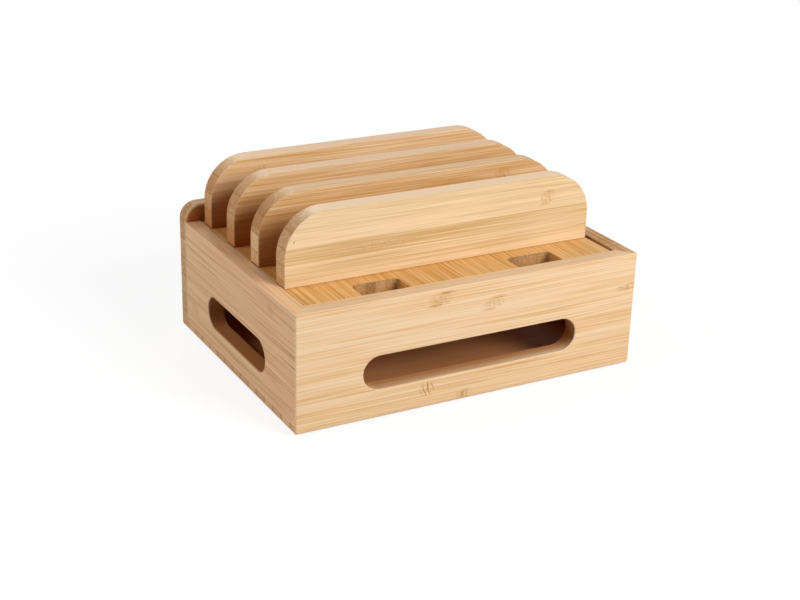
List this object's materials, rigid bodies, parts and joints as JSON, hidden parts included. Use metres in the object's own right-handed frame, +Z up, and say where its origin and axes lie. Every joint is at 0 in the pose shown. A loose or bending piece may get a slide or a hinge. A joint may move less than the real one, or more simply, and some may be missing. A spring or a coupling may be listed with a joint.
{
  "type": "charging station organizer",
  "caption": "Low bamboo box with cable slots in its walls and a lift-out deck that carries upright rounded dividers, with cable openings between them.",
  "frame": {"origin": "on the resting plane under the middle of the box", "axes": "+X along the front, to the right seen from the front; +Y to the back; +Z up"},
  "size_m": [0.17, 0.13, 0.088],
  "materials": {
    "wall_bamboo": "satin bamboo, flat grain along the wall",
    "base_bamboo": "satin bamboo strips along the front",
    "deck_bamboo": "satin bamboo, narrow strips front to back",
    "divider_bamboo": "satin bamboo, grain along the divider",
    "cleat_bamboo": "raw bamboo",
    "dowel_wood": "raw beech",
    "brad_steel": "bright steel",
    "screw_steel": "zinc plated steel",
    "foot_rubber": "matt dark rubber"
  },
  "bodies": {
    "box": {"base_board": "base_bamboo", "front_wall": "wall_bamboo", "left_wall": "wall_bamboo", "right_wall": "wall_bamboo", "back_panel": "wall_bamboo", "left_cleat": "cleat_bamboo", "right_cleat": "cleat_bamboo", "back_panel_dowels": "dowel_wood", "base_brads": "brad_steel", "front_left_foot": "foot_rubber", "front_right_foot": "foot_rubber", "rear_left_foot": "foot_rubber", "rear_right_foot": "foot_rubber"},
    "deck": {"deck_board": "deck_bamboo", "divider_screws": "screw_steel", "front_divider": "divider_bamboo", "second_divider": "divider_bamboo", "third_divider": "divider_bamboo", "rear_divider": "divider_bamboo"}
  },
  "joints": [
    {"name": "deck_lift", "type": "slide", "parent": "box", "child": "deck", "axis": [0, 0, 1], "range_m": [0, 0.1]}
  ]
}
